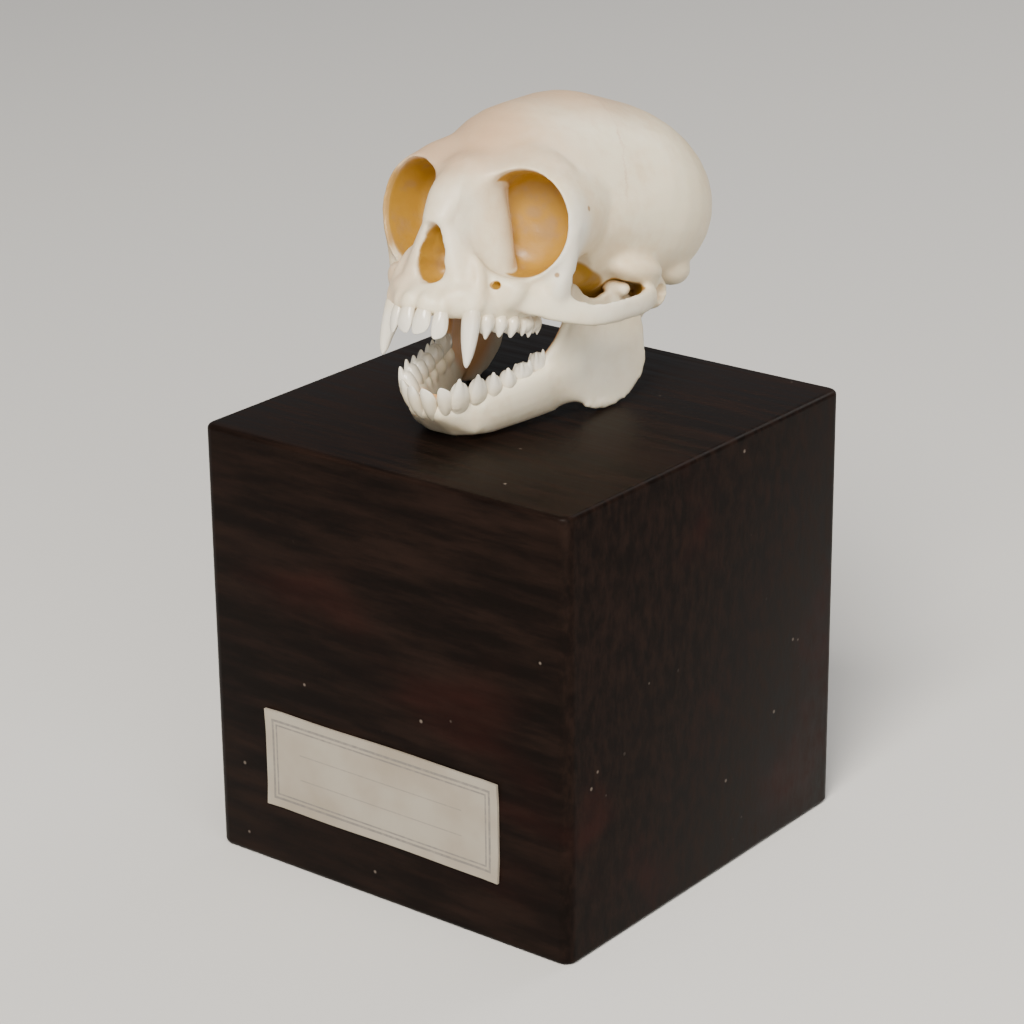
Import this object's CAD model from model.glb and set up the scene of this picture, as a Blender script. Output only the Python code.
"""Marmoset skull on a stained wooden block: the finished look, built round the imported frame.

Lengths in the tables are millimetres. The cranium and the lower jaw are each modelled in
their own frame, with the jaw joint at the origin and the face towards -Y, then set on the block.
"""
import math
import random

import bmesh
import bpy
from mathutils import Euler, Matrix, Vector
from mathutils.bvhtree import BVHTree
from mathutils.kdtree import KDTree


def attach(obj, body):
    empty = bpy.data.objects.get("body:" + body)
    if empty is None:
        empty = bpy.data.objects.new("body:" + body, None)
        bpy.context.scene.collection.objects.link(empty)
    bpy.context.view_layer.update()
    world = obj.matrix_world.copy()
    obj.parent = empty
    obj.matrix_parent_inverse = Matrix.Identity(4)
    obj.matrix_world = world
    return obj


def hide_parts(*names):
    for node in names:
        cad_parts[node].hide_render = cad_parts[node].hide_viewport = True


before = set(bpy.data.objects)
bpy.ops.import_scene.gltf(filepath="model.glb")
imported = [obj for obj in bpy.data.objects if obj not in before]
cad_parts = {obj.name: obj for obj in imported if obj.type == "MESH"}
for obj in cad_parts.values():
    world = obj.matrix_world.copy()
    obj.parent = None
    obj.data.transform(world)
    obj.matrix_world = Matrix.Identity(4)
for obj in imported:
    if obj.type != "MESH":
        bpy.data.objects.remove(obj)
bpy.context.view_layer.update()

MM = 0.001
SIDES = (1, -1)

# Block, label and pose, as in the solids
BLOCK_WIDTH = 48.0
BLOCK_DEPTH = 49.2
BLOCK_HEIGHT = 49.0
LABEL_WIDTH = 31.6
LABEL_HEIGHT = 11.2
LABEL_CENTRE = (-0.6, 12.7)
JAW_JOINT = Vector((-1.8, 6.2, BLOCK_HEIGHT + 13.15))
CRANIUM_TURN = (-18.7, -2.7, 2.0)
MANDIBLE_TURN = (1.9, -0.4, 2.0)
MANDIBLE_DROP = 0.28            # the lower jaw rests on the wood here

# Fineness of the bone, and how often each skin is smoothed
FIRST_SKIN = 0.32
FIRST_ROUNDS = 5
FINE_SKIN = 0.25
FINE_ROUNDS = 6
TOOTH_SKIN = 0.075
TOOTH_ROUNDS = 2
JAW_CLEARANCE = 0.12            # air left between the cranium and the lower jaw

# Orbit; its profile is depth behind the rim, radius and shift outward
ORBIT_CENTRE = Vector((6.55, -16.1, 4.15))
ORBIT_TALLER = 1.08
ORBIT_OUTWARD = 19.7
ORBIT_DOWNWARD = 5.6
ORBIT_PROFILE = (
    (-4.0, 4.75, 0.75), (-2.0, 4.95, 0.45), (-0.6, 5.15, 0.15), (0.4, 5.15, 0.1),
    (2.6, 4.85, 0.3), (4.4, 4.45, 0.5), (5.0, 4.0, 0.55), (5.4, 3.2, 0.6), (5.6, 2.0, 0.6),
    (5.65, 0.8, 0.6),
)
# Pillar of bone down the inner side of the orbit: its middle aside, back and up in the orbit's
# own frame, and its stations as height, half width and half depth
PILLAR_CENTRE = Vector((-4.35, 2.7, -1.2))
PILLAR_TILT = -13.0
PILLAR_STATIONS = (
    (-7.0, 2.7, 3.0), (-3.0, 2.9, 3.4), (0.0, 2.9, 3.5), (3.0, 2.7, 3.4), (6.6, 2.3, 2.8),
)
PILLAR_PATCH = (3.2, 3.9, 12.0)

# Rounded-off regions of the cranium's left half: centre, radii and rounds
CRANIUM_SOFTENED = (
    ((2.7, -17.8, 4.1), (3.0, 2.9, 5.4), 150),      # pillar into the bridge of the nose
    ((3.0, -15.6, 9.6), (4.2, 3.6, 2.6), 60),       # brow above it
    ((7.0, -16.4, 4.1), (6.3, 3.4, 6.6), 14),       # whole rim of the orbit
    ((2.9, -15.9, 3.2), (2.6, 3.0, 6.2), 30),       # face of the pillar
)

# Blade of the lower jaw: its thickness, and y, z round its edge
BLADE_THICKNESS = 0.84
RAMUS = (
    (-8.6, -9.0), (-7.2, -10.7), (-5.6, -11.8), (-3.8, -12.6), (-1.6, -12.85), (1.2, -12.3),
    (3.3, -10.8), (4.1, -9.0), (4.2, -6.8), (3.9, -4.6), (2.7, -2.2), (1.1, -0.6),
    (-0.8, -0.3), (-2.0, -0.5), (-3.2, -0.5), (-4.6, 0.3), (-5.8, 1.8), (-6.4, 1.2),
    (-7.0, -0.6), (-7.7, -2.6), (-8.8, -4.6), (-9.4, -6.8),
)

# Dental arcades: x, y of the crown's middle from the midline to the last molar
UPPER_ARCADE = (
    (0, -22.6), (1.5, -22.35), (3.2, -21.4), (4.9, -19.5),
    (5.5, -17.6), (6.0, -15.4), (6.5, -12.6), (6.6, -9.8),
)
LOWER_ARCADE = (
    (0, -22.2), (1.2, -21.9), (2.35, -21.1), (3.2, -20.0), (4.1, -18.1),
    (4.9, -16.0), (5.6, -13.4), (6.1, -10.6), (6.3, -9.0),
)

ARCADE_MIDDLE_Y = -14.0         # teeth lean out from here
TOOTH_TILT = 0.05               # how far a tip may stray

# Teeth: name, kind, distance along the arcade, half width, half depth, neck, tip, outward lean
UPPER_TEETH = (
    ("first_incisor", "incisor", 0.98, 1.02, 0.74, -5.9, -8.1, 0.5),
    ("second_incisor", "incisor", 2.80, 0.88, 0.72, -5.9, -8.3, 0.5),
    ("canine", "canine", 5.9, 1.08, 1.12, -5.6, -10.3, 0.35),
    ("first_premolar", "premolar", 7.80, 0.98, 1.05, -5.6, -7.9, 0.1),
    ("second_premolar", "premolar", 9.45, 0.94, 1.25, -5.6, -7.5, 0.1),
    ("third_premolar", "premolar", 11.10, 0.94, 1.35, -5.5, -7.4, 0.1),
    ("first_molar", "molar", 12.95, 1.12, 1.45, -5.3, -7.2, 0.0),
    ("second_molar", "molar", 14.65, 0.80, 1.15, -5.1, -6.8, 0.0),
)
LOWER_TEETH = (
    ("first_incisor", "incisor", 0.80, 0.86, 0.95, -8.4, -5.9, 1.1),
    ("second_incisor", "incisor", 2.25, 0.84, 0.95, -8.3, -5.8, 1.0),
    ("canine", "premolar", 3.65, 1.24, 1.10, -8.0, -4.7, 0.7),
    ("first_premolar", "premolar", 5.75, 1.22, 0.98, -7.8, -4.7, 0.5),
    ("second_premolar", "premolar", 7.75, 1.10, 1.02, -7.5, -5.0, 0.2),
    ("third_premolar", "premolar", 9.65, 1.08, 1.04, -7.2, -5.0, 0.1),
    ("first_molar", "molar", 11.75, 1.26, 1.06, -6.8, -4.8, 0.0),
    ("second_molar", "molar", 13.85, 1.12, 0.96, -6.4, -4.2, 0.0),
)

# Pattern teeth: rings of a crown, and a cheek tooth's cusps as x, y, top and width
CHEEK_CROWN = (
    ((0, 0, -0.32), 0.66, 0.55), ((0, 0, 0.0), 0.97, 0.90),
    ((0, 0, 0.28), 1.0, 0.97), ((0, 0, 0.46), 0.86, 0.84),
)
CROWNS = {
    "incisor": (
        ((0, 0, -0.32), 0.66, 0.60), ((0, 0, -0.05), 0.84, 0.92), ((0, 0.04, 0.35), 0.98, 0.84),
        ((0.02, 0.0, 0.72), 1.0, 0.52), ((0.06, -0.04, 0.95), 0.80, 0.24),
    ),
    "canine": (
        ((0, 0, -0.35), 0.72, 0.80), ((0, 0, -0.05), 0.92, 0.95), ((0, 0.05, 0.2), 0.92, 0.92),
        ((0, 0.08, 0.5), 0.84, 0.82), ((0, 0.02, 0.8), 0.64, 0.62), ((0, -0.04, 0.95), 0.38, 0.38),
    ),
    "premolar": CHEEK_CROWN,
    "molar": CHEEK_CROWN,
}
CUSPS = {
    "premolar": ((-0.18, 0.40, 1.0, 0.84), (0.35, 0.1, 0.74, 0.66), (0.1, -0.48, 0.70, 0.6)),
    "molar": (
        (-0.45, 0.45, 0.96, 0.5), (0.45, 0.45, 1.0, 0.5),
        (-0.42, -0.48, 0.82, 0.46), (0.42, -0.5, 0.80, 0.44),
    ),
}

# Rounding of the block, and the label's card
CORNER_ROUNDING = 1.3
EDGE_ROUNDING = 0.55
LABEL_THICKNESS = 0.3
LABEL_FORWARD = 0.14            # its middle lies this far before the wood
LABEL_CURL = 0.16
LABEL_WAVE = 0.05

# Reach of the rays that feel how hollow the bone is, and the share of points they start from
HOLLOW_REACH = 7.0
HOLLOW_STEP = 6

# Colours
IVORY = (0.83, 0.74, 0.545, 1)
IVORY_WARM = (0.73, 0.59, 0.385, 1)
JAW_IVORY = (0.88, 0.79, 0.60, 1)
BLUSH = (0.56, 0.355, 0.21, 1)
MILKY = (0.82, 0.80, 0.71, 1)
AMBER = (0.39, 0.205, 0.022, 1)
AMBER_DEEP = (0.33, 0.185, 0.06, 1)
AMBER_SKIN = (0.78, 0.38, 0.11, 1)
ENAMEL = (0.78, 0.735, 0.625, 1)
ENAMEL_NECK = (0.77, 0.68, 0.51, 1)
WOOD_DARK = (0.0045, 0.0028, 0.0022, 1)
WOOD_LIGHT = (0.014, 0.0075, 0.0055, 1)
WOOD_RED = (0.030, 0.0065, 0.0048, 1)
DUST = (0.22, 0.18, 0.15, 1)
PAPER = (0.33, 0.295, 0.24, 1)
PAPER_AGED = (0.27, 0.23, 0.175, 1)
PAPER_FIBRE = (0.30, 0.265, 0.215, 1)
INK = (0.14, 0.13, 0.12, 1)
FLOOR_COLOURS = ((0.70, 0.69, 0.67, 1), (0.73, 0.72, 0.70, 1))

# Tints: colour, amount, centre, radii and softness of the edge
CRANIUM_TINTS = (
    (BLUSH, 0.85, (-3.5, -15.0, 12.5), (8.0, 8.0, 6.5), 0.6),
    (BLUSH, 0.50, (-6.5, -20.0, -2.0), (5.0, 5.0, 7.0), 0.5),
    (BLUSH, 0.75, (-1.5, -2.0, 19.5), (9.0, 13.0, 4.0), 0.6),
    (BLUSH, 0.30, (5.0, -12.0, 12.0), (6.0, 5.0, 3.5), 0.7),
    (MILKY, 0.70, (12.3, -13.5, 1.5), (2.4, 3.0, 6.5), 0.45),
    (MILKY, 0.45, (12.5, -4.0, -2.5), (2.5, 7.0, 2.5), 0.5),
    (MILKY, 0.35, (1.5, -20.5, 3.5), (2.5, 3.0, 4.0), 0.6),
    (IVORY_WARM, 0.50, (9.0, 14.0, 6.0), (6.0, 7.0, 9.0), 0.6),
    (IVORY_WARM, 0.55, (0.0, 8.0, -2.5), (10.0, 12.0, 4.0), 0.5),
)
SINGLE_PORES = (
    (AMBER_DEEP, 0.9, (10.58, -13.86, -0.41), (0.26, 0.26, 0.26), 0.4),
    (AMBER_DEEP, 0.9, (11.68, -11.42, 6.73), (0.28, 0.28, 0.28), 0.4),
)
ORBIT_BLOTCHES = (
    (AMBER_DEEP, 0.75, (-10.04, -12.71, 7.01), (0.5, 0.75, 0.4), 0.45),
    (AMBER_DEEP, 0.8, (4.75, -10.89, 5.71), (0.8, 1.2, 0.64), 0.45),
    (AMBER_DEEP, 0.6, (6.1, -10.25, 4.0), (1.3, 1.95, 1.04), 0.45),
)
JAW_TINTS = (
    (MILKY, 0.45, (9.5, -3.0, -8.0), (3.0, 5.0, 4.0), 0.6),
    (MILKY, 0.45, (-9.5, -3.0, -8.0), (3.0, 5.0, 4.0), 0.6),
)
JAW_INNER_TINTS = (
    (AMBER_SKIN, 0.85, (-8.0, -4.5, -5.5), (2.5, 8.0, 6.5), 0.2),
    (AMBER_SKIN, 0.85, (8.0, -4.5, -5.5), (2.5, 8.0, 6.5), 0.2),
)
JAW_FRONT_TINTS = ((AMBER_SKIN, 0.9, (0.0, -18.2, -8.2), (2.6, 3.0, 2.2), 0.25),)

# Amber patches: centre, radii and softness; all but the nose and the far rim are on both sides
NOSE_PATCH = ((0, -19.6, -0.2), (2.3, 2.3, 3.6), 0.1)
FAR_RIM_PATCH = ((-12.4, -15.0, 4.0), (3.2, 2.3, 6.4), 0.22)
CHEEK_HOLE_PATCH = ((6.2, -17.6, -2.3), (0.6, 1.6, 0.5), 0.1)
TEMPLE_PATCH = ((7.6, -5.6, -0.9), (1.7, 4.4, 2.3), 0.12)

# Printing on the label: inset and half width of each frame line, height of each ruled line
FRAME_LINES = ((1.05, 0.11), (1.55, 0.07))
RULED_LEVELS = (1.35, -1.55)
RULED_HALF_LENGTH = 11.0

# Camera: azimuth, elevation and roll in degrees; where it stands in block widths: away,
# to the left and higher; and the height it looks at
CAMERA_ANGLES = (38.11, 20.85, -0.61)
CAMERA_LENS = 112.45
CAMERA_STANDS = (7.2773, 0.0354, 0.2403)
CAMERA_LOOKS_AT = 24.545

# Light and floor, in metres; each lamp has a name, place, size, power and colour
LIGHT_TARGET = (0, 0, 0.055)
LIGHTS = (
    ("key", (0.20, -0.50, 0.58), 0.34, 10.2, (1.0, 0.945, 0.86)),
    ("fill", (0.62, -0.35, 0.34), 0.50, 2.4, (1.0, 0.97, 0.93)),
    ("rim", (0.10, 0.60, 0.50), 0.40, 1.8, (1.0, 0.97, 0.93)),
)
STUDIO_COLOUR = (0.80, 0.81, 0.83, 1)
STUDIO_STRENGTH = 0.34
FLOOR_WIDTH = 6.0

# Shared node groups, and how nodes are set out
PATCH = "soft patch"
MOTTLE = "bone mottle"
NODES_IN_COLUMN = 8
COLUMN_WIDTH = 220
ROW_HEIGHT = 260
SHADER_X = 3000


# ---- modelling helpers

def jaw_place(turn, drop=0.0):
    """Matrix that sets a jaw on the block."""
    turned = Euler([math.radians(a) for a in turn], "YXZ").to_matrix().to_4x4()
    return Matrix.Translation((JAW_JOINT - Vector((0, 0, drop))) * MM) @ turned


def deselect():
    bpy.ops.object.select_all(action="DESELECT")


def choose(*pieces):
    deselect()
    for piece in pieces:
        piece.select_set(True)
    bpy.context.view_layer.objects.active = pieces[0]


def into_edit(piece):
    choose(piece)
    bpy.ops.object.mode_set(mode="EDIT")
    bpy.ops.mesh.select_all(action="SELECT")


def out_of_edit():
    bpy.ops.object.mode_set(mode="OBJECT")


def face_outward():
    """Turn all normals of the mesh in edit mode outward."""
    bpy.ops.mesh.select_all(action="SELECT")
    bpy.ops.mesh.normals_make_consistent(inside=False)


def finish_modifier(piece, kind, **values):
    choose(piece)
    modifier = piece.modifiers.new(kind.title(), kind)
    for key, value in values.items():
        setattr(modifier, key, value)
    bpy.ops.object.modifier_apply(modifier=modifier.name)


def join(name, pieces):
    choose(*pieces)
    bpy.ops.object.join()
    joined = bpy.context.object
    joined.name = name
    joined.data.name = name
    return joined


def settle(piece):
    """Put a piece's place, turn and size into its mesh."""
    choose(piece)
    bpy.ops.object.transform_apply(location=True, rotation=True, scale=True)


def ball(name, centre, radii, turn=(0, 0, 0), segments=32):
    deselect()
    bpy.ops.mesh.primitive_uv_sphere_add(
        segments=segments, ring_count=segments // 2, radius=1.0,
        location=Vector(centre) * MM, rotation=[math.radians(a) for a in turn])
    piece = bpy.context.object
    piece.scale = [r * MM for r in radii]
    piece.name = name
    settle(piece)
    return piece


def smooth_through(points, steps):
    """Points of a smooth curve through a list of equal-length tuples."""
    points = [Vector(p) for p in points]
    ends = [2 * points[0] - points[1]] + points + [2 * points[-1] - points[-2]]
    result = []
    for i in range(1, len(ends) - 2):
        a, b, c, d = ends[i - 1:i + 3]
        for k in range(steps):
            t = k / steps
            result.append(0.5 * (2 * b + (c - a) * t + (2 * a - 5 * b + 4 * c - d) * t * t
                                 + (3 * b - a - 3 * c + d) * t ** 3))
    result.append(points[-1])
    return result


def select_verts(piece, first, last):
    """Select a run of vertices, with the edges and faces between them, in edit mode."""
    bm = bmesh.from_edit_mesh(piece.data)
    bm.verts.ensure_lookup_table()
    for vert in bm.verts:
        vert.select_set(first <= vert.index < last)
    bm.select_flush(True)
    bmesh.update_edit_mesh(piece.data)


def loft(name, stations, across, sides=16, dome=0.45):
    """Rings bridged one to the next: each station is a centre and two half widths."""
    rings = [(Vector(c), a, b) for c, a, b in stations]
    first, last = rings[0], rings[-1]
    lead = (first[0] - rings[1][0]).normalized() * dome * min(first[1], first[2])
    trail = (last[0] - rings[-2][0]).normalized() * dome * min(last[1], last[2])
    rings = [(first[0] + lead, first[1] * 0.6, first[2] * 0.6)] + rings
    rings.append((last[0] + trail, last[1] * 0.6, last[2] * 0.6))
    piece = None
    for i, (centre, half_a, half_b) in enumerate(rings):
        before = rings[max(i - 1, 0)][0]
        after = rings[min(i + 1, len(rings) - 1)][0]
        forward = (after - before).normalized()
        side_a = (across - forward * across.dot(forward)).normalized()
        side_b = forward.cross(side_a)
        turn = Matrix((side_a, side_b, forward)).transposed().to_euler()
        if piece is None:
            deselect()
        bpy.ops.mesh.primitive_circle_add(
            vertices=sides, radius=MM, fill_type="NOTHING", location=centre * MM, rotation=turn)
        if piece is None:
            piece = bpy.context.object
            settle(piece)
            into_edit(piece)
        select_verts(piece, i * sides, (i + 1) * sides)
        bm = bmesh.from_edit_mesh(piece.data)
        for vert in bm.verts:
            if vert.select:
                away = vert.co - centre * MM
                vert.co = (centre * MM + side_a * away.dot(side_a) * half_a
                           + side_b * away.dot(side_b) * half_b)
        bmesh.update_edit_mesh(piece.data)
        if i:
            select_verts(piece, (i - 1) * sides, (i + 1) * sides)
            bpy.ops.mesh.bridge_edge_loops()
    for start in (0, (len(rings) - 1) * sides):
        select_verts(piece, start, start + sides)
        bpy.ops.mesh.edge_face_add()
    face_outward()
    out_of_edit()
    piece.name = name
    return piece


def bar(name, stations, side=1, across=(1, 0, 0), steps=3):
    """Bar of bone through stations of x, y, z, half thickness across and half height."""
    points = [Vector(station) for station in stations]
    if len(points) > 2:
        points = smooth_through(points, steps)
    rings = [(Vector((side * p[0], p[1], p[2])), p[3], p[4]) for p in points]
    return loft(name, rings, Vector((side * across[0], across[1], across[2])))


def hull(name, balls):
    """One convex form stretched over a few ellipsoids."""
    whole = join(name, [ball(name, centre, radii) for centre, radii in balls])
    into_edit(whole)
    bpy.ops.mesh.convex_hull(delete_unused=True, use_existing_faces=False,
                             join_triangles=False)
    out_of_edit()
    return whole


def both_sides(balls):
    return [((side * x, y, z), radii) for (x, y, z), radii in balls for side in SIDES]


def skin_over(piece, voxel, rounds):
    """Melt overlapping forms into one smooth surface."""
    finish_modifier(piece, "REMESH", mode="VOXEL", voxel_size=voxel * MM,
                    use_smooth_shade=True)
    finish_modifier(piece, "SMOOTH", factor=0.5, iterations=rounds)


def cut_away(piece, cutters):
    """Cut all the cutters out of a piece at once, and remove them."""
    group = bpy.data.collections.new("cutters")
    bpy.context.scene.collection.children.link(group)
    for cutter in cutters:
        for owner in list(cutter.users_collection):
            owner.objects.unlink(cutter)
        group.objects.link(cutter)
    finish_modifier(piece, "BOOLEAN", operation="DIFFERENCE", solver="MANIFOLD",
                    operand_type="COLLECTION", collection=group)
    for cutter in cutters:
        bpy.data.objects.remove(cutter, do_unlink=True)
    bpy.data.collections.remove(group)


def keep_largest(piece):
    """Drop any loose scrap or sealed bubble."""
    into_edit(piece)
    bm = bmesh.from_edit_mesh(piece.data)
    unseen = set(bm.verts)
    islands = []
    while unseen:
        stack = [unseen.pop()]
        island = set(stack)
        while stack:
            for edge in stack.pop().link_edges:
                for vert in edge.verts:
                    if vert in unseen:
                        unseen.remove(vert)
                        island.add(vert)
                        stack.append(vert)
        islands.append(island)
    islands.sort(key=len)
    bpy.ops.mesh.select_all(action="DESELECT")
    for island in islands[:-1]:
        for vert in island:
            vert.select_set(True)
    bmesh.update_edit_mesh(piece.data)
    if len(islands) > 1:
        bpy.ops.mesh.delete(type="VERT")
    out_of_edit()


# ---- cranium

def orbit_frame(side):
    """Centre of an orbit, and the way it faces."""
    out, down = math.radians(ORBIT_OUTWARD), math.radians(ORBIT_DOWNWARD)
    level = math.cos(down)
    facing = Vector((side * math.sin(out) * level, -math.cos(out) * level, -math.sin(down)))
    return Vector((side * ORBIT_CENTRE.x, ORBIT_CENTRE.y, ORBIT_CENTRE.z)), facing


def orbit_axes():
    """Centre of the left orbit, and its axes: aside, back into the cup and up."""
    centre, facing = orbit_frame(1)
    lateral = Vector((-facing.y, facing.x, 0)).normalized()
    return centre, Matrix((lateral, -facing, lateral.cross(-facing))).transposed()


def braincase():
    vault = [
        ((0, 6.4, 8.4), (12.6, 15.1, 10.85)),
        ((0, 0.5, 8.0), (11.0, 12.0, 11.35)),
        ((0, -5.0, 6.5), (10.4, 12.0, 11.15)),
    ]
    pieces = [
        hull("vault", vault + both_sides([((4.2, -7.0, 5.2), (6.6, 8.0, 4.4))])),
        ball("rear_base", (0, 9.0, 3.4), (9.0, 9.5, 5.4)),
        ball("base", (0, 7.0, -1.2), (4.4, 8.5, 2.4)),
    ]
    brow = [
        ((4.9, -12.0, 7.7), (5.5, 5.2, 4.6)),
        ((4.7, -14.7, 8.9), (3.4, 1.9, 2.1)),
        ((2.6, -11.0, 10.6), (4.2, 3.6, 3.3)),
    ]
    pieces.append(hull("brow", both_sides(brow)))
    for side in SIDES:
        pieces.append(hull("behind_eye", [
            ((side * 5.9, -13.2, 4.9), (6.3, 5.6, 6.2)),
            ((side * 6.3, -6.5, 6.4), (4.6, 5.0, 5.4)),
        ]))
    return pieces


def face():
    muzzle = [
        ((1.0, -19.6, 2.6), (1.3, 2.0, 1.3)),
        ((2.0, -19.2, -0.8), (1.2, 2.1, 2.4)),
        ((3.2, -19.0, -4.0), (1.6, 2.0, 1.5)),
        ((5.2, -16.0, -3.0), (1.8, 1.8, 2.4)),
        ((2.0, -14.0, 3.0), (2.0, 3.0, 4.0)),
    ]
    bridge = [
        (0, -16.2, 9.0, 3.2, 1.8), (0, -18.8, 6.8, 2.7, 1.8),
        (0, -20.2, 4.9, 2.2, 1.5), (0, -21.4, 3.1, 1.6, 1.0),
    ]
    pieces = [
        ball("palate_roof", (0, -12.0, -1.0), (6.0, 6.0, 3.6)),
        ball("incisor_bone", (0, -20.3, -4.5), (3.7, 2.1, 1.9)),
        bar("nasal_bridge", bridge),
        hull("muzzle", both_sides(muzzle)),
    ]
    tooth_row = [
        (1.2, -21.5, -4.7, 1.0, 1.75), (3.1, -20.7, -4.7, 1.0, 1.75), (4.5, -19.2, -4.3, 1.2, 1.9),
        (5.2, -16.8, -3.9, 1.25, 1.8), (5.9, -14.0, -3.7, 1.25, 1.8), (6.3, -11.0, -3.4, 1.25, 1.7),
        (6.2, -9.2, -3.0, 1.1, 1.5),
    ]
    canine_root = [
        (5.2, -19.4, -4.8, 0.95, 0.95), (4.8, -19.2, -2.0, 0.85, 0.8), (3.7, -18.8, 1.0, 0.5, 0.6),
    ]
    palate_wing = [
        (3.4, -9.0, -3.4, 0.6, 1.3), (3.5, -6.6, -3.0, 0.5, 1.5), (3.6, -4.0, -2.2, 0.5, 1.6),
    ]
    for side in SIDES:
        centre, facing = orbit_frame(side)
        turn = (-ORBIT_DOWNWARD, 0, side * ORBIT_OUTWARD)
        pieces += [
            ball("orbit_cup", centre - facing * 2.9, (6.45, 6.4, 6.75), turn, segments=48),
            ball("orbit_floor", (side * 6.0, -16.2, -2.4), (2.6, 1.9, 2.6)),
            ball("cheek_corner", (side * 9.8, -12.6, -1.0), (1.4, 1.5, 2.2)),
            ball("tear_bone", (side * 2.3, -17.5, 4.5), (1.6, 1.9, 4.8)),
            bar("tooth_row", tooth_row, side, across=(1, 0.35, 0)),
            bar("canine_root", canine_root, side),
            bar("palate_wing", palate_wing, side),
        ]
        for _, _, distance, half_width, half_depth, neck, _, _ in UPPER_TEETH:
            spot, _ = arcade_point(UPPER_ARCADE, distance)
            pieces.append(ball("socket", (side * spot.x, spot.y, neck + 0.8),
                               (half_width * 0.95, half_depth + 0.08, 1.25)))
    return pieces


def cheek(side):
    arch = [
        (6.8, -15.6, -2.7, 1.0, 2.0), (8.7, -13.9, -3.0, 0.8, 2.1), (10.5, -11.6, -3.6, 0.6, 1.8),
        (11.8, -9.2, -4.0, 0.5, 1.45), (12.7, -6.2, -3.5, 0.5, 1.35), (12.8, -3.0, -2.7, 0.55, 1.3),
        (12.4, 0.2, -2.0, 0.7, 1.3), (11.3, 3.2, -1.1, 0.95, 1.4),
    ]
    upright = [
        (11.9, -13.7, 4.6, 0.5, 0.9), (11.3, -12.8, 1.0, 0.5, 1.1), (10.4, -11.9, -2.4, 0.6, 1.5),
    ]
    return [bar("cheek_arch", arch, side, across=(1, 0.2, 0)), bar("eye_upright", upright, side)]


def ear_region(side):
    return [
        ball("joint_roof", (side * 9.8, 1.6, 1.5), (2.6, 4.2, 1.6)),
        ball("ear_ring", (side * 9.9, 5.4, -0.6), (1.7, 2.0, 2.0)),
        ball("hearing_capsule", (side * 5.6, 5.0, -2.4), (2.6, 4.6, 2.9), (0, 0, side * -12)),
        ball("mastoid", (side * 8.7, 10.6, 2.2), (1.9, 3.0, 1.9)),
        ball("neck_condyle", (side * 3.0, 14.2, -1.0), (1.4, 2.0, 1.3)),
    ]


def cranium_cutters():
    cutters = []
    for side in SIDES:
        centre, facing = orbit_frame(side)
        lateral = Vector((-facing.y * side, facing.x * side, 0)).normalized()
        rings = [(centre - facing * depth + lateral * shift, radius, radius * ORBIT_TALLER)
                 for depth, radius, shift in ORBIT_PROFILE]
        cutters += [
            loft("cut_orbit", rings, lateral, sides=48, dome=0.1),
            ball("cut_ear", (side * 11.6, 5.4, -0.6), (1.7, 1.0, 1.0)),
            ball("cut_temporal_pit", (side * 10.2, -7.4, -1.6), (2.5, 5.7, 2.1), (-24, 0, 0)),
            ball("cut_temporal_front", (side * 10.9, -9.8, -0.7), (2.6, 1.9, 2.1)),
            ball("cut_temporal_high", (side * 9.4, -7.3, -0.2), (2.5, 3.4, 2.2), (-26, 0, 0)),
        ]
    cutters += [
        ball("cut_nose_low", (0, -21.2, -1.4), (1.8, 3.4, 1.7)),
        ball("cut_nose_middle", (0, -21.5, -0.1), (1.65, 3.5, 2.0)),
        ball("cut_nose_high", (0, -21.7, 1.3), (1.1, 3.3, 1.8)),
        ball("cut_palate", (0, -13.8, -6.2), (4.2, 7.0, 2.4)),
        ball("cut_inner_nostrils", (0, -7.0, -2.8), (2.2, 3.0, 1.8)),
        ball("cut_spine_hole", (0, 15.6, -1.2), (2.6, 2.7, 2.8), (30, 0, 0)),
    ]
    return cutters


def pillar_frame(side=1):
    """Centre and turn of the pillar, in the cranium's frame."""
    centre, axes = orbit_axes()
    spot = centre + axes @ PILLAR_CENTRE
    turned = axes @ Matrix.Rotation(math.radians(PILLAR_TILT), 3, "Y")
    if side < 0:
        fold = Matrix.Diagonal((-1, 1, 1))
        spot, turned = fold @ spot, fold @ turned @ fold
    return spot, turned


def orbit_pillar(side):
    spot, turned = pillar_frame(side)
    rings = [(spot + turned @ Vector((0, 0, up)), half_width, half_depth)
             for up, half_width, half_depth in PILLAR_STATIONS]
    return loft("orbit_pillar", rings, turned @ Vector((1, 0, 0)), sides=32)


def soften(piece, centre, radii, rounds):
    """Round off the surface inside an ellipsoid."""
    into_edit(piece)
    bm = bmesh.from_edit_mesh(piece.data)
    middle = Vector(centre)
    for vert in bm.verts:
        away = vert.co / MM - middle
        vert.select_set(sum((a / r) ** 2 for a, r in zip(away, radii)) < 1)
    bm.select_flush(False)
    bmesh.update_edit_mesh(piece.data)
    bpy.ops.mesh.vertices_smooth(factor=0.5, repeat=rounds)
    out_of_edit()


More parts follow.
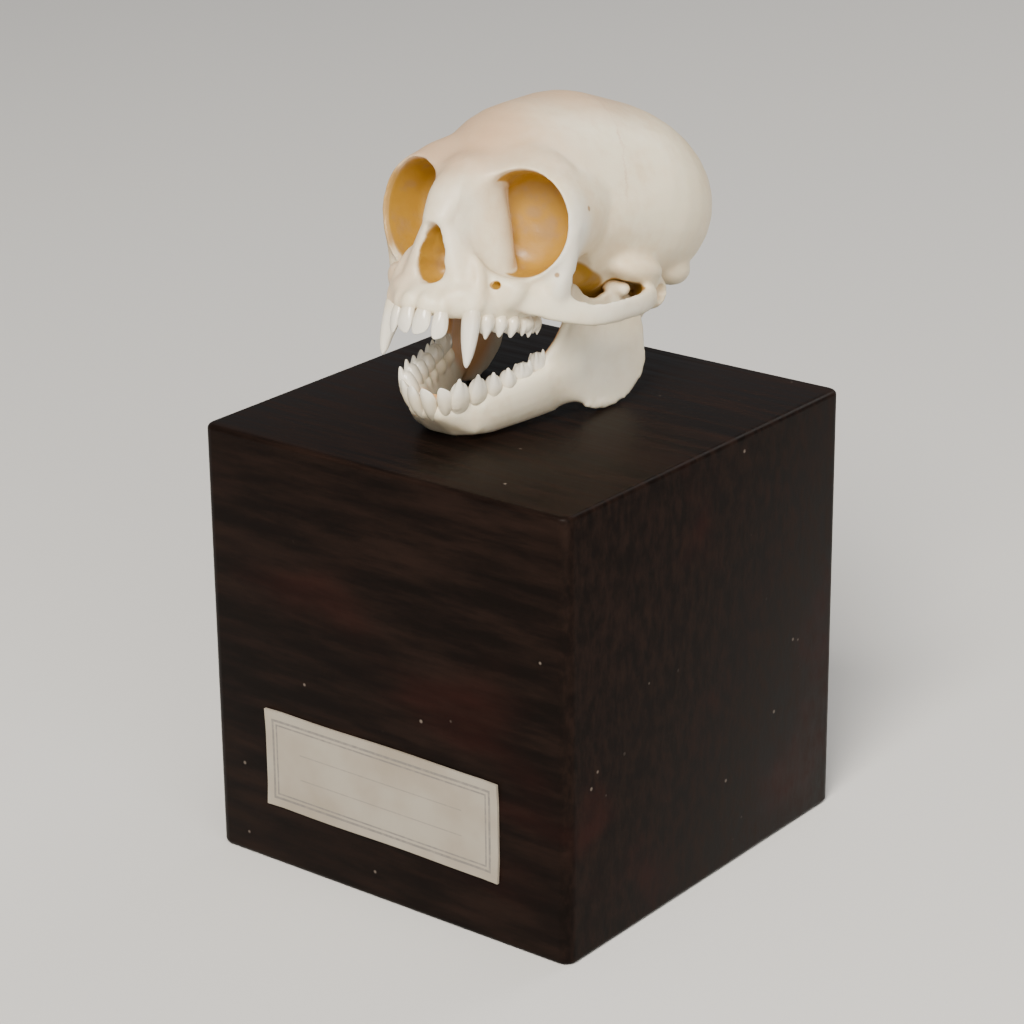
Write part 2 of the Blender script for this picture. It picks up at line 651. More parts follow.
def make_cranium(mandible):
    pieces = braincase() + face()
    for side in SIDES:
        pieces += cheek(side) + ear_region(side)
    cranium = join("cranium_bone", pieces)
    skin_over(cranium, FIRST_SKIN, FIRST_ROUNDS)
    cut_away(cranium, cranium_cutters())
    cranium = join("cranium_bone", [cranium] + [orbit_pillar(side) for side in SIDES])
    skin_over(cranium, FINE_SKIN, FINE_ROUNDS)
    for side in SIDES:
        for (x, y, z), radii, rounds in CRANIUM_SOFTENED:
            soften(cranium, (side * x, y, z), radii, rounds)
    cheek_holes = [ball("cut_cheek_hole", (side * 6.3, -18.3, -2.3), (0.42, 1.1, 0.40), segments=16)
                   for side in SIDES]
    clearance = copy_of(mandible, "cut_clearance")
    clearance.matrix_world = (jaw_place(CRANIUM_TURN).inverted()
                              @ jaw_place(MANDIBLE_TURN, MANDIBLE_DROP))
    settle(clearance)
    finish_modifier(clearance, "DISPLACE", strength=JAW_CLEARANCE * MM, mid_level=0.0)
    cut_away(cranium, cheek_holes + [clearance])
    keep_largest(cranium)
    return cranium


def copy_of(piece, name):
    choose(piece)
    bpy.ops.object.duplicate(linked=False)
    twin = bpy.context.object
    twin.name = name
    return twin


# ---- lower jaw

def blade_x(y, z):
    """How far out the blade's middle lies: it spreads towards the back and the lower edge."""
    return 8.6 + (0.16 if y < 0 else 0.1) * y - 0.04 * z


def blade(side):
    """Upright blade of the lower jaw: an outline filled, then given its thickness."""
    outline = smooth_through(RAMUS + RAMUS[:1], 3)[:-1]
    deselect()
    bpy.ops.mesh.primitive_circle_add(vertices=len(outline), radius=MM, fill_type="NGON",
                                      rotation=(0, math.pi / 2, 0))
    piece = bpy.context.object
    settle(piece)
    into_edit(piece)
    bm = bmesh.from_edit_mesh(piece.data)
    bm.verts.ensure_lookup_table()
    for vert, (y, z) in zip(bm.verts, outline):
        vert.co = Vector((side * (blade_x(y, z) - BLADE_THICKNESS / 2), y, z)) * MM
    bmesh.update_edit_mesh(piece.data)
    bpy.ops.mesh.select_all(action="SELECT")
    bpy.ops.mesh.extrude_region_move(
        TRANSFORM_OT_translate={"value": (side * BLADE_THICKNESS * MM, 0, 0)})
    face_outward()
    out_of_edit()
    piece.name = "jaw_blade"
    return piece


def make_mandible():
    chin = [
        ((1.4, -21.4, -8.6), (1.0, 0.9, 1.1)), ((2.8, -20.0, -8.7), (0.95, 0.95, 1.2)),
        ((1.3, -18.8, -11.0), (1.2, 1.2, 1.05)), ((3.3, -18.2, -10.3), (1.2, 1.3, 1.5)),
    ]
    body = [
        (2.7, -19.6, -9.2, 1.1, 2.0), (4.1, -17.3, -9.5, 1.15, 2.6),
        (5.3, -14.2, -9.3, 1.1, 2.8), (6.3, -11.0, -9.0, 1.05, 3.0), (7.2, -8.0, -8.8, 0.85, 3.0),
        (8.0, -5.0, -8.8, 0.55, 2.6),
    ]
    front_edge = [
        (6.6, -9.8, -6.0, 0.8, 0.8), (7.3, -8.2, -4.0, 0.6, 0.8), (7.8, -6.9, -1.6, 0.5, 0.8),
    ]
    condyle = [
        (7.6, 0, -0.1, 0.75, 0.7), (8.8, 0, -0.1, 0.85, 0.8), (10.2, 0, -0.2, 0.75, 0.7),
    ]
    angle_rim = [
        (8.8, -3.6, -12.0, 0.3, 0.4), (9.1, -0.8, -12.3, 0.3, 0.4),
        (9.3, 2.2, -11.3, 0.3, 0.4), (9.4, 4.1, -9.0, 0.3, 0.4),
    ]
    pieces = [hull("chin", both_sides(chin))]
    for side in SIDES:
        pieces += [
            bar("jaw_body", body, side, across=(1, 0.3, -0.2)),
            blade(side),
            bar("front_edge", front_edge, side),
            bar("condyle", condyle, side, across=(0, 1, 0)),
            bar("condyle_neck", [(8.9, -0.2, -0.8, 0.7, 0.7), (9.0, 0.9, -3.2, 0.55, 1.2)], side),
            bar("angle_rim", angle_rim, side),
        ]
        for _, _, distance, half_width, half_depth, neck, _, _ in LOWER_TEETH[3:]:
            spot, _ = arcade_point(LOWER_ARCADE, distance)
            pieces.append(ball("socket", (side * spot.x * 0.98, spot.y * 0.985, neck - 0.7),
                               (half_width, half_depth * 0.8, 1.2)))
    jaw = join("mandible_bone", pieces)
    skin_over(jaw, FINE_SKIN, FINE_ROUNDS)
    for side in SIDES:
        soften(jaw, (side * 8.2, -7.4, -8.6), (2.4, 3.6, 4.2), 50)
    keep_largest(jaw)
    return jaw


# ---- teeth

def arcade_point(arcade, distance):
    """Point at a distance from the midline along a tooth row, and the row's direction there."""
    points = smooth_through([(x, y, 0) for x, y in arcade], 12)
    travelled = 0.0
    for a, b in zip(points, points[1:]):
        step = (b - a).length
        if travelled + step >= distance or b is points[-1]:
            return (a + (b - a) * ((distance - travelled) / step), (b - a).normalized())
        travelled += step


def tooth_pattern(kind):
    """A tooth of unit half width and half depth: its neck at 0, its tip at 1, its root below."""
    across = Vector((1, 0, 0))
    parts = [loft(kind, CROWNS[kind], across)]
    for x, y, top, width in CUSPS.get(kind, ()):
        rings = [
            ((x * 0.9, y, 0.15), width, width * 0.8),
            ((x, y, top * 0.6), width * 0.66, width * 0.6),
            ((x, y * 0.9, top - 0.07), width * 0.2, width * 0.22),
        ]
        parts.append(loft("cusp", rings, across, sides=12))
    piece = join(kind, parts) if len(parts) > 1 else parts[0]
    finish_modifier(piece, "SUBSURF", levels=1, render_levels=1)
    return piece


def set_teeth(jaw, arcade, rows, place, patterns, rng):
    """Copy each kind of tooth to its socket, with its own mesh, size and slight turn."""
    made = []
    for side in SIDES:
        for name, kind, distance, half_width, half_depth, neck, tip, lean in rows:
            spot, along = arcade_point(arcade, distance)
            along = Vector((side * along.x, along.y, 0))
            spot = Vector((side * spot.x, spot.y, neck))
            outward = Vector((-along.y, along.x, 0))
            if outward.dot(spot - Vector((0, ARCADE_MIDDLE_Y, spot.z))) < 0:
                outward = -outward
            outward.normalize()
            axis = Vector((0, 0, tip - neck)) + outward * lean
            tilt = Vector((rng.uniform(-1, 1), rng.uniform(-1, 1), 0)) * TOOTH_TILT
            columns = Matrix((along * half_width, outward * half_depth, axis + tilt))
            columns = columns.transposed().to_4x4()
            tooth = copy_of(patterns[kind], f"{jaw}_{'left' if side > 0 else 'right'}_{name}")
            tooth.matrix_world = Matrix.Identity(4)
            for step in (Matrix.Scale(1 / MM, 4), columns, Matrix.Translation(spot),
                         Matrix.Scale(MM, 4), place):
                tooth.data.transform(step)
            into_edit(tooth)
            face_outward()
            out_of_edit()
            if kind in CUSPS:
                skin_over(tooth, TOOTH_SKIN, TOOTH_ROUNDS)
            bpy.ops.object.shade_smooth()
            made.append(tooth)
    return made


# ---- block and label

def make_block():
    deselect()
    bpy.ops.mesh.primitive_cube_add(size=1.0, location=(0, 0, BLOCK_HEIGHT / 2 * MM))
    block = bpy.context.object
    block.scale = (BLOCK_WIDTH * MM, BLOCK_DEPTH * MM, BLOCK_HEIGHT * MM)
    settle(block)
    into_edit(block)
    for width, rounds_upright in ((CORNER_ROUNDING, True), (EDGE_ROUNDING, False)):
        bm = bmesh.from_edit_mesh(block.data)
        bpy.ops.mesh.select_all(action="DESELECT")
        for edge in bm.edges:
            run = edge.verts[1].co - edge.verts[0].co
            sharp = edge.is_manifold and edge.calc_face_angle() > 0.9
            upright = abs(run.z) > 0.9 * run.length
            if sharp and upright == rounds_upright:
                edge.select_set(True)
        bmesh.update_edit_mesh(block.data)
        bpy.ops.mesh.bevel(offset=width * MM, segments=4, affect="EDGES", clamp_overlap=True)
    face_outward()
    out_of_edit()
    block.name = "wooden_block"
    bpy.ops.object.shade_smooth_by_angle(angle=math.radians(30))
    return block


def make_label():
    """Thin card on the block's front, with curling corners and slightly wavy edges."""
    deselect()
    middle = (LABEL_CENTRE[0], -BLOCK_DEPTH / 2 - LABEL_FORWARD, LABEL_CENTRE[1])
    bpy.ops.mesh.primitive_cube_add(size=1.0, location=[at * MM for at in middle])
    label = bpy.context.object
    label.scale = (LABEL_WIDTH * MM, LABEL_THICKNESS * MM, LABEL_HEIGHT * MM)
    settle(label)
    into_edit(label)
    bpy.ops.mesh.subdivide(number_cuts=14)
    bm = bmesh.from_edit_mesh(label.data)
    for vert in bm.verts:
        x = (vert.co.x / MM - LABEL_CENTRE[0]) / (LABEL_WIDTH / 2)
        z = (vert.co.z / MM - LABEL_CENTRE[1]) / (LABEL_HEIGHT / 2)
        lift = LABEL_CURL * max(0.0, abs(x) - 0.86) / 0.14 * max(0.0, abs(z) - 0.55) / 0.45
        vert.co.y -= lift * MM
        vert.co.z += LABEL_WAVE * MM * math.sin(5.1 * x + 0.8)
    bmesh.update_edit_mesh(label.data)
    out_of_edit()
    label.name = "paper_label"
    bpy.ops.object.shade_smooth_by_angle(angle=math.radians(40))
    return label


# ---- how hollow each point of the bone is

def measure_hollows(piece, other, rays):
    """Store on each vertex how much nearby bone hides the air, and how far it faces inward."""
    rng = random.Random(7)
    directions = []
    while len(directions) < rays:
        v = Vector((rng.uniform(-1, 1), rng.uniform(-1, 1), rng.uniform(-1, 1)))
        if 0.1 < v.length < 1:
            directions.append(v.normalized())
    trees = []
    for bone in (piece, other):
        verts = [v.co.copy() for v in bone.data.vertices]
        trees.append(BVHTree.FromPolygons(verts, [p.vertices[:] for p in bone.data.polygons]))
    samples = list(piece.data.vertices)[::HOLLOW_STEP]
    reach = HOLLOW_REACH * MM
    finder = KDTree(len(samples))
    shares = []
    for index, vert in enumerate(samples):
        finder.insert(vert.co, index)
        normal = vert.normal
        start = vert.co + normal * 0.05 * MM
        hidden = total = 0.0
        for direction in directions:
            weight = direction.dot(normal)
            if weight < 0.05:
                continue
            total += weight
            for tree in trees:
                found, _, _, distance = tree.ray_cast(start, direction, reach)
                if found is not None:
                    hidden += weight * (1 - 0.6 * distance / reach)
                    break
        shares.append(hidden / total if total else 0.0)
    finder.balance()
    values = []
    for vert in piece.data.vertices:
        near = finder.find_n(vert.co, 7)
        facing = [shares[i] for _, i, _ in near if samples[i].normal.dot(vert.normal) > 0.3]
        values.append(sum(facing) / len(facing) if facing else shares[near[0][1]])
    middle = JAW_JOINT.x * MM
    inward = [-vert.normal.x if vert.co.x > middle else vert.normal.x
              for vert in piece.data.vertices]
    for name, numbers in (("hollow", values), ("inward", inward)):
        layer = piece.data.attributes.new(name, "FLOAT", "POINT")
        layer.data.foreach_set("value", numbers)


# ---- materials

def maths(operation):
    return lambda nodes, a, b=None: nodes.math(operation, a, b)


class Nodes:
    """Adds nodes to one tree. A value is a number, a colour, a vector or a node's output."""
    plus, minus, times = maths("ADD"), maths("SUBTRACT"), maths("MULTIPLY")
    larger, unsigned = maths("MAXIMUM"), maths("ABSOLUTE")

    def __init__(self, tree):
        self.tree = tree

    def add(self, kind, **values):
        """Set a new node down in columns, in the order of making."""
        column, row = divmod(len(self.tree.nodes), NODES_IN_COLUMN)
        node = self.tree.nodes.new(kind)
        node.location = (column * COLUMN_WIDTH, -row * ROW_HEIGHT)
        for key, value in values.items():
            setattr(node, key, value)
        return node

    def feed(self, socket, value):
        if isinstance(value, bpy.types.NodeSocket):
            self.tree.links.new(value, socket)
        elif value is not None:
            socket.default_value = value

    def feed_all(self, node, **values):
        for label, value in values.items():
            self.feed(node.inputs[label.replace("_", " ")], value)

    def math(self, operation, a, b=None):
        node = self.add("ShaderNodeMath", operation=operation)
        self.feed(node.inputs[0], a)
        self.feed(node.inputs[1], b)
        return node.outputs[0]

    def vector_math(self, operation, a, b=None):
        node = self.add("ShaderNodeVectorMath", operation=operation)
        self.feed(node.inputs[0], a)
        self.feed(node.inputs[1], b)
        return node.outputs["Value" if operation == "LENGTH" else "Vector"]

    def ramp(self, value, low, high, to_low=0.0, to_high=1.0):
        node = self.add("ShaderNodeMapRange", interpolation_type="SMOOTHSTEP")
        self.feed_all(node, Value=value, From_Min=low, From_Max=high, To_Min=to_low, To_Max=to_high)
        return node.outputs["Result"]

    def mix(self, factor, a, b):
        node = self.add("ShaderNodeMix", data_type="RGBA")
        for index, value in ((0, factor), (6, a), (7, b)):
            self.feed(node.inputs[index], value)
        return node.outputs[2]

    def noise(self, place, scale, detail, roughness):
        node = self.add("ShaderNodeTexNoise")
        self.feed_all(node, Vector=place, Scale=scale, Detail=detail, Roughness=roughness)
        return node.outputs["Fac"]

    def cells(self, place, scale):
        node = self.add("ShaderNodeTexVoronoi")
        self.feed_all(node, Vector=place, Scale=scale)
        return node.outputs["Distance"]

    def attribute(self, name):
        return self.add("ShaderNodeAttribute", attribute_name=name,
                        attribute_type="GEOMETRY").outputs["Fac"]

    def object_place(self):
        return self.add("ShaderNodeTexCoord").outputs["Object"]

    def stretched(self, place, scale, turn=(0, 0, 0)):
        node = self.add("ShaderNodeMapping")
        self.feed_all(node, Vector=place, Rotation=turn, Scale=scale)
        return node.outputs[0]

    def in_frame(self, place, origin, turn=(0, 0, 0), unit=1.0):
        """The place seen from a frame with its own origin, turn and unit of length."""
        node = self.add("ShaderNodeMapping", vector_type="TEXTURE")
        self.feed_all(node, Vector=place, Location=origin, Rotation=turn, Scale=(unit, unit, unit))
        return node.outputs[0]

    def in_jaw(self, turn, drop):
        """Object coordinates turned into the jaw's own frame, in millimetres."""
        matrix = jaw_place(turn, drop)
        return self.in_frame(self.object_place(), matrix.to_translation(),
                             matrix.to_euler("XYZ"), MM)

    def parts(self, place):
        node = self.add("ShaderNodeSeparateXYZ")
        self.feed(node.inputs[0], place)
        return node.outputs

    def patch(self, place, centre, radii, softness):
        node = self.add("ShaderNodeGroup", node_tree=bpy.data.node_groups[PATCH])
        self.feed_all(node, Place=place, Centre=centre, Radii=radii, Softness=softness)
        return node.outputs["Mask"]

    def mottle(self, place, pale, warm, amount):
        node = self.add("ShaderNodeGroup", node_tree=bpy.data.node_groups[MOTTLE])
        self.feed_all(node, Place=place, Pale=pale, Warm=warm, Amount=amount)
        return node.outputs["Color"], node.outputs["Height"]

    def tinted(self, colour, place, tints, within=None):
        """Lay patches of tint over a colour, all of them inside one mask if it is given."""
        for tint, amount, centre, radii, softness in tints:
            mask = self.patch(place, centre, radii, softness)
            if within is not None:
                mask = self.times(mask, within)
            colour = self.mix(self.times(mask, amount), colour, tint)
        return colour

    def bump(self, shader, height, strength, distance):
        node = self.add("ShaderNodeBump")
        self.feed_all(node, Strength=strength, Distance=distance * MM, Height=height)
        self.feed(shader.inputs["Normal"], node.outputs["Normal"])


def new_group(name, inputs, outputs):
    group = bpy.data.node_groups.new(name, "ShaderNodeTree")
    for label, kind in inputs:
        group.interface.new_socket(label, in_out="INPUT", socket_type="NodeSocket" + kind)
    for label, kind in outputs:
        group.interface.new_socket(label, in_out="OUTPUT", socket_type="NodeSocket" + kind)
    nodes = Nodes(group)
    return nodes, nodes.add("NodeGroupInput").outputs, nodes.add("NodeGroupOutput").inputs


def build_patch_group():
    """A soft round patch: 1 inside an ellipsoid, 0 outside."""
    nodes, start, end = new_group(
        PATCH, (("Place", "Vector"), ("Centre", "Vector"), ("Radii", "Vector"), ("Softness", "Float")),
        (("Mask", "Float"),))
    away = nodes.vector_math("SUBTRACT", start["Place"], start["Centre"])
    away = nodes.vector_math("LENGTH", nodes.vector_math("DIVIDE", away, start["Radii"]))
    inner = nodes.minus(1.0, start["Softness"])
    outer = nodes.plus(1.0, start["Softness"])
    nodes.feed(end["Mask"], nodes.ramp(away, inner, outer, 1.0, 0.0))


def build_mottle_group():
    """Uneven tone of dry bone, with its fine pores and grain as height."""
    nodes, start, end = new_group(
        MOTTLE, (("Place", "Vector"), ("Pale", "Color"), ("Warm", "Color"), ("Amount", "Float")),
        (("Color", "Color"), ("Height", "Float")))
    place = start["Place"]
    broad = nodes.times(nodes.noise(place, 0.11, 3.0, 0.5), 0.72)
    fine = nodes.times(nodes.noise(place, 0.9, 5.0, 0.6), 0.28)
    warmth = nodes.times(nodes.ramp(nodes.plus(broad, fine), 0.38, 0.66), start["Amount"])
    nodes.feed(end["Color"], nodes.mix(warmth, start["Pale"], start["Warm"]))
    pores = nodes.times(nodes.ramp(nodes.cells(place, 7.0), 0.0, 0.16), 0.25)
    nodes.feed(end["Height"], nodes.plus(pores, nodes.noise(place, 3.2, 6.0, 0.62)))


def start_material(name, roughness):
    material = bpy.data.materials.new(name)
    material.use_nodes = True
    shader = material.node_tree.nodes["Principled BSDF"]
    shader.location = (SHADER_X, 0)
    material.node_tree.nodes["Material Output"].location = (SHADER_X + 2 * COLUMN_WIDTH, 0)
    shader.inputs["Roughness"].default_value = roughness
    return material, Nodes(material.node_tree), shader


def let_light_in(shader, weight, radius, depth):
    shader.inputs["Subsurface Weight"].default_value = weight
    shader.inputs["Subsurface Radius"].default_value = radius
    shader.inputs["Subsurface Scale"].default_value = depth * MM


def finish_bone(nodes, shader, place, colour, roughness, depth):
    """Satin bone: a patchy sheen, and a little light let in."""
    nodes.feed(shader.inputs["Base Color"], colour)
    sheen = nodes.ramp(nodes.noise(place, 1.3, 4.0, 0.6), 0.3, 0.7, *roughness)
    nodes.feed(shader.inputs["Roughness"], sheen)
    let_light_in(shader, 0.12, (1.0, 0.62, 0.38), depth)


def vault_seam(nodes, place, x, y, z):
    """Faint wavy seam across the vault, from temple to temple."""
    wave = nodes.times(nodes.noise(place, 0.8, 5.0, 0.7), 2.2)
    course = nodes.plus(nodes.times(nodes.unsigned(x), -0.42), wave)
    off = nodes.unsigned(nodes.minus(y, course))
    line = nodes.times(nodes.ramp(off, 0.05, 0.24, 1.0, 0.0), nodes.ramp(z, 6.0, 11.0))
    patchy = nodes.ramp(nodes.noise(place, 0.35, 2.0, 0.5), 0.35, 0.6, 0.1, 0.42)
    return nodes.times(line, patchy)


def amber_mask(nodes, place, x, y, z):
    """Where thin bone glows amber: the eye sockets, nose, temples and other hollows."""
    # both halves share one pattern: x is folded at the midline
    fold = nodes.add("ShaderNodeCombineXYZ")
    nodes.feed_all(fold, X=nodes.unsigned(x), Y=y, Z=z)
    folded = fold.outputs[0]
    centre, axes = orbit_axes()
    cup = nodes.in_frame(folded, centre, axes.to_euler("XYZ"))
    aside, depth, _ = nodes.parts(cup)
    spot, turned = pillar_frame()
    on_pillar = nodes.patch(nodes.in_frame(folded, spot, turned.to_euler("XYZ")),
                            (0, 0, 0), PILLAR_PATCH, 0.03)
    behind_rim = nodes.ramp(nodes.plus(depth, nodes.times(aside, 0.08)), 0.35, 0.65)
    in_cup = nodes.times(nodes.times(nodes.minus(1.0, on_pillar), behind_rim),
                         nodes.patch(cup, (0.5, 2.6, 0), (5.6, 5.2, 5.9), 0.05))
    any_orbit = nodes.patch(cup, (0, 2.0, 0), (6.2, 5.4, 6.4), 0.1)
    hollow = nodes.attribute("hollow")
    mask = in_cup
    for other in (
            nodes.times(nodes.ramp(hollow, 0.42, 0.66), nodes.minus(1.0, any_orbit)),
            nodes.times(nodes.patch(place, *NOSE_PATCH), nodes.ramp(hollow, 0.16, 0.28)),
            nodes.times(nodes.patch(place, *FAR_RIM_PATCH), 0.85),
            nodes.patch(folded, *CHEEK_HOLE_PATCH),
            nodes.patch(folded, *TEMPLE_PATCH)):
        mask = nodes.larger(mask, other)
    return mask


def cranium_material():
    material, nodes, shader = start_material("cranium bone", 0.42)
    place = nodes.in_jaw(CRANIUM_TURN, 0.0)
    colour, height = nodes.mottle(place, IVORY, IVORY_WARM, 1.0)
    colour = nodes.tinted(colour, place, CRANIUM_TINTS)
    x, y, z = nodes.parts(place)
    colour = nodes.mix(vault_seam(nodes, place, x, y, z), colour, BLUSH)
    colour = nodes.tinted(colour, place, SINGLE_PORES)
    cloud = nodes.ramp(nodes.noise(place, 0.45, 4.0, 0.6), 0.45, 0.75)
    amber = nodes.tinted(nodes.mix(cloud, AMBER, AMBER_DEEP), place, ORBIT_BLOTCHES)
    colour = nodes.mix(amber_mask(nodes, place, x, y, z), colour, amber)
    finish_bone(nodes, shader, place, colour, (0.36, 0.52), 1.4)
    nodes.bump(shader, height, 0.16, 0.12)
    return material


def mandible_material():
    material, nodes, shader = start_material("mandible bone", 0.40)
    place = nodes.in_jaw(MANDIBLE_TURN, MANDIBLE_DROP)
    colour, height = nodes.mottle(place, JAW_IVORY, IVORY_WARM, 0.7)
    colour = nodes.tinted(colour, place, JAW_TINTS)
    inner_face = nodes.ramp(nodes.attribute("inward"), 0.1, 0.6)
    colour = nodes.tinted(colour, place, JAW_INNER_TINTS, inner_face)
    colour = nodes.tinted(colour, place, JAW_FRONT_TINTS)
    deep = nodes.ramp(nodes.attribute("hollow"), 0.45, 0.80)
    colour = nodes.mix(nodes.times(deep, 0.6), colour, AMBER)
    finish_bone(nodes, shader, place, colour, (0.34, 0.5), 1.2)
    nodes.bump(shader, height, 0.14, 0.1)
    return material


def enamel_material(name, turn, drop, neck_z, tip_z):
    """Milky enamel, creamier towards the gum."""
    material, nodes, shader = start_material(name, 0.22)
    place = nodes.in_jaw(turn, drop)
    towards_tip = nodes.ramp(nodes.parts(place)["Z"], neck_z, tip_z)
    cloud = nodes.ramp(nodes.noise(place, 1.1, 4.0, 0.6), 0.5, 0.8, 0.0, 0.35)
    colour = nodes.mix(cloud, nodes.mix(towards_tip, ENAMEL_NECK, ENAMEL), MILKY)
    nodes.feed(shader.inputs["Base Color"], colour)
    shader.inputs["Coat Weight"].default_value = 0.35
    shader.inputs["Coat Roughness"].default_value = 0.12
    let_light_in(shader, 0.1, (0.8, 0.7, 0.6), 0.5)
    nodes.bump(shader, nodes.noise(place, 4.0, 4.0, 0.6), 0.08, 0.05)
    return material


def wood_material():
    """Near-black stained wood with faint grain, a redder figure and a few specks of dust."""
    material, nodes, shader = start_material("stained wood", 0.4)
    place = nodes.object_place()
    grain = nodes.stretched(place, (60.0, 900.0, 420.0), (0.05, 0.1, 0.04))
    streak = nodes.noise(grain, 1.0, 6.0, 0.65)
    figure = nodes.noise(nodes.stretched(place, (22.0, 60.0, 60.0)), 1.0, 3.0, 0.5)
    colour = nodes.mix(nodes.ramp(streak, 0.35, 0.72), WOOD_DARK, WOOD_LIGHT)
    colour = nodes.mix(nodes.ramp(figure, 0.56, 0.80, 0.0, 0.75), colour, WOOD_RED)
    rare = nodes.ramp(nodes.noise(place, 140.0, 2.0, 0.5), 0.60, 0.66)
    dust = nodes.times(nodes.ramp(nodes.cells(place, 420.0), 0.05, 0.11, 1.0, 0.0), rare)
    colour = nodes.mix(nodes.times(dust, 0.5), colour, DUST)
    nodes.feed(shader.inputs["Base Color"], colour)
    nodes.feed(shader.inputs["Roughness"], nodes.ramp(streak, 0.3, 0.75, 0.32, 0.48))
    shader.inputs["Specular IOR Level"].default_value = 0.04
    nodes.bump(shader, streak, 0.12, 0.12)
    return material


def printed_lines(nodes, place):
    """Double frame and two ruled lines; every line is level or upright."""
    across, _, height = nodes.parts(place)
    x, z = nodes.unsigned(across), nodes.unsigned(height)
    ink = 0.0
    for inset, half_line in FRAME_LINES:
        outside = nodes.larger(nodes.minus(x, LABEL_WIDTH / 2 - inset),
                               nodes.minus(z, LABEL_HEIGHT / 2 - inset))
        line = nodes.ramp(nodes.unsigned(outside), half_line, half_line + 0.06, 1.0, 0.0)
        ink = nodes.larger(ink, line)
    for level in RULED_LEVELS:
        off = nodes.unsigned(nodes.minus(height, level))
        line = nodes.times(nodes.ramp(off, 0.05, 0.10, 1.0, 0.0),
                           nodes.ramp(x, RULED_HALF_LENGTH, RULED_HALF_LENGTH + 0.1, 1.0, 0.0))
        ink = nodes.larger(ink, nodes.times(line, 0.55))
    return ink


def paper_material():
    """Old paper with a printed double frame and blank ruled lines."""
    material, nodes, shader = start_material("label paper", 0.78)
    middle = (LABEL_CENTRE[0] * MM, 0, LABEL_CENTRE[1] * MM)
    place = nodes.in_frame(nodes.object_place(), middle, unit=MM)
    fibre = nodes.noise(place, 2.4, 6.0, 0.7)
    age = nodes.ramp(nodes.noise(place, 0.12, 3.0, 0.5), 0.35, 0.7)
    colour = nodes.mix(age, PAPER, PAPER_AGED)
    colour = nodes.mix(nodes.ramp(fibre, 0.3, 0.8, 0.0, 0.25), colour, PAPER_FIBRE)
    worn = nodes.ramp(nodes.noise(place, 1.6, 4.0, 0.7), 0.3, 0.6, 0.45, 0.85)
    colour = nodes.mix(nodes.times(printed_lines(nodes, place), worn), colour, INK)
    nodes.feed(shader.inputs["Base Color"], colour)
    nodes.bump(shader, fibre, 0.15, 0.05)
    return material


def floor_material():
    material, nodes, shader = start_material("studio floor", 0.6)
    cloud = nodes.noise(nodes.object_place(), 3.0, 2.0, 0.5)
    nodes.feed(shader.inputs["Base Color"], nodes.mix(cloud, *FLOOR_COLOURS))
    return material


# ---- camera, light and floor

def make_camera():
    """Set so that the frame holds the object as the photograph does."""
    azimuth, elevation, roll = [math.radians(angle) for angle in CAMERA_ANGLES]
    back = Vector((math.sin(azimuth) * math.cos(elevation),
                   -math.cos(azimuth) * math.cos(elevation), math.sin(elevation)))
    right = Vector((0, 0, 1)).cross(back).normalized()
    up = back.cross(right)
    aside = right * math.cos(roll) + up * math.sin(roll)
    above = up * math.cos(roll) - right * math.sin(roll)
    data = bpy.data.cameras.new("camera")
    data.lens = CAMERA_LENS
    data.clip_start = 0.01
    camera = bpy.data.objects.new("camera", data)
    bpy.context.scene.collection.objects.link(camera)
    away, left, higher = CAMERA_STANDS
    spot = (back * away - aside * left + above * higher) * BLOCK_WIDTH
    spot += Vector((0, 0, CAMERA_LOOKS_AT))
    turned = Matrix((aside, above, back)).transposed().to_4x4()
    camera.matrix_world = Matrix.Translation(spot * MM) @ turned
    bpy.context.scene.camera = camera


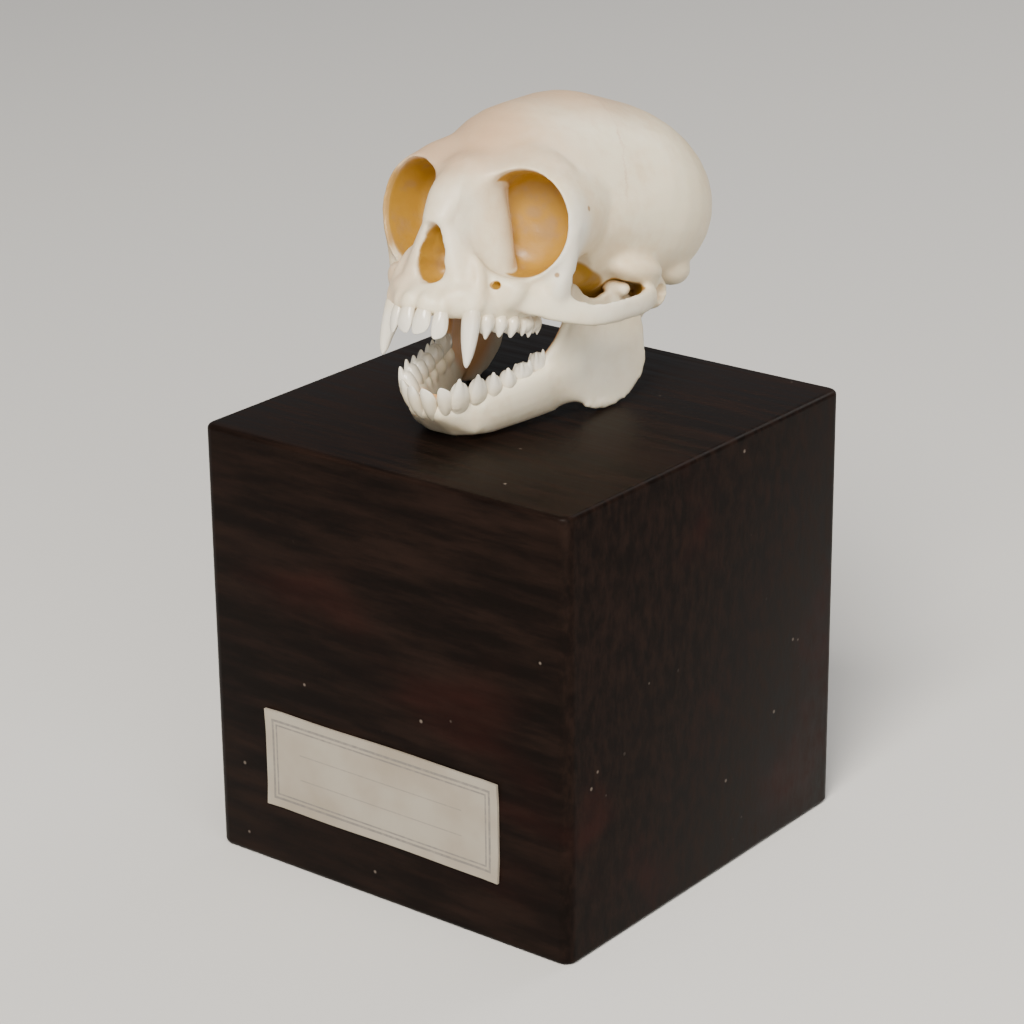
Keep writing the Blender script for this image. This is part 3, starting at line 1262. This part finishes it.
def make_lights():
    target = Vector(LIGHT_TARGET)
    for name, spot, size, power, colour in LIGHTS:
        data = bpy.data.lights.new(name, "AREA")
        data.shape = "DISK"
        data.size = size
        data.energy = power
        data.color = colour
        lamp = bpy.data.objects.new(name, data)
        bpy.context.scene.collection.objects.link(lamp)
        lamp.location = spot
        lamp.rotation_euler = (Vector(spot) - target).to_track_quat("Z", "Y").to_euler()
    world = bpy.data.worlds.new("studio")
    world.use_nodes = True
    background = world.node_tree.nodes["Background"]
    background.inputs["Color"].default_value = STUDIO_COLOUR
    background.inputs["Strength"].default_value = STUDIO_STRENGTH
    bpy.context.scene.world = world


def make_floor():
    deselect()
    bpy.ops.mesh.primitive_plane_add(size=FLOOR_WIDTH, location=(0, 0, 0))
    floor = bpy.context.object
    floor.name = "floor"
    floor.data.materials.append(floor_material())


# ---- put together

def main():
    rng = random.Random(11)
    cranium_place = jaw_place(CRANIUM_TURN)
    mandible_place = jaw_place(MANDIBLE_TURN, MANDIBLE_DROP)
    mandible = make_mandible()
    cranium = make_cranium(mandible)
    mandible.matrix_world = mandible_place
    cranium.matrix_world = cranium_place
    settle(mandible)
    settle(cranium)
    patterns = {kind: tooth_pattern(kind) for kind in ("incisor", "canine", "premolar", "molar")}
    upper = set_teeth("upper", UPPER_ARCADE, UPPER_TEETH, cranium_place, patterns, rng)
    lower = set_teeth("lower", LOWER_ARCADE, LOWER_TEETH, mandible_place, patterns, rng)
    for pattern in patterns.values():
        bpy.data.objects.remove(pattern, do_unlink=True)
    measure_hollows(cranium, mandible, 18)
    measure_hollows(mandible, cranium, 14)
    build_patch_group()
    build_mottle_group()
    upper_enamel = enamel_material("upper enamel", CRANIUM_TURN, 0.0, -5.2, -7.2)
    lower_enamel = enamel_material("lower enamel", MANDIBLE_TURN, MANDIBLE_DROP, -7.6, -5.8)
    dressed = [
        ([cranium], cranium_material(), "bone", "cranium"),
        (upper, upper_enamel, "bone", "cranium"),
        ([mandible], mandible_material(), "bone", "mandible"),
        (lower, lower_enamel, "bone", "mandible"),
        ([make_block()], wood_material(), "stained_wood", "stand_block"),
        ([make_label()], paper_material(), "paper", "stand_label"),
    ]
    for pieces, material, slot, node in dressed:
        for piece in pieces:
            piece.data.materials.clear()            # cutting leaves empty slots behind
            piece.data.materials.append(material)
            for polygon in piece.data.polygons:
                polygon.material_index = 0
            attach(piece, "root")
            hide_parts(node)
    make_floor()
    make_lights()
    make_camera()


main()
